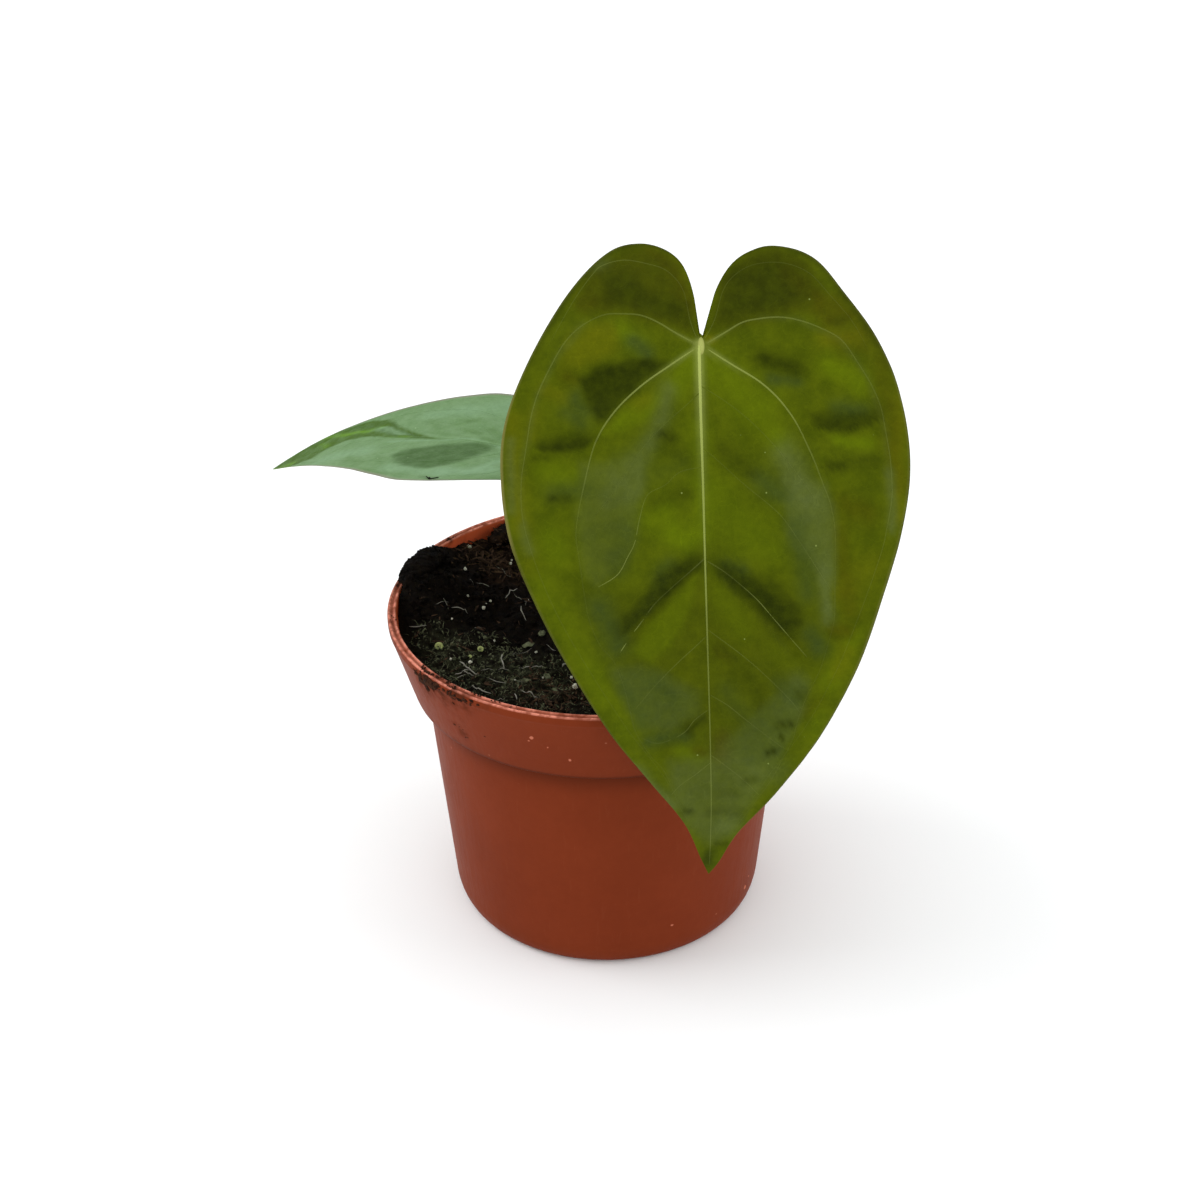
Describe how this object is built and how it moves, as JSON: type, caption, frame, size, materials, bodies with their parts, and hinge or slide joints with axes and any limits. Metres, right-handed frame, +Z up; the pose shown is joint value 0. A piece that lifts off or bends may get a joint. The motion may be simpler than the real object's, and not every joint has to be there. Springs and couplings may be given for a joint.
{
  "type": "potted anthurium papillilaminum",
  "caption": "Young velvet-leaved anthurium in a round terracotta-coloured nursery pot: heart-shaped leaves with pale veins on slender stalks above dark potting soil.",
  "frame": {"origin": "centre of the pot's underside, on the surface that it stands on", "axes": "+Z up, the large leaf hangs towards -Y, the smaller leaf is held out towards -X"},
  "size_m": [0.1724, 0.131, 0.1981],
  "materials": {
    "terracotta_plastic": "satin injection-moulded plastic in terracotta brown, with faint mould marks, dust and specks of soil",
    "dark_peat": "matte, damp dark peat with fibres, small white beads and moss",
    "stem_bark": "matte green-brown stem with leaf scars",
    "petiole_skin": "satin green stalk skin, paler at the knee under the blade",
    "olive_velvet": "velvety olive-green leaf with pale yellow-green veins and darker quilted valleys",
    "grey_green_velvet": "velvety leaf seen against its nap, with a silvery grey-green sheen over mid green",
    "dry_scale_leaf": "matte dry papery brown with fine lengthwise fibres"
  },
  "bodies": {
    "root": {"pot": "terracotta_plastic", "soil": "dark_peat", "stem": "stem_bark", "front_petiole": "petiole_skin", "front_blade": "olive_velvet", "front_cataphyll": "dry_scale_leaf", "left_petiole": "petiole_skin", "left_blade": "grey_green_velvet", "left_cataphyll": "dry_scale_leaf"}
  },
  "joints": []
}
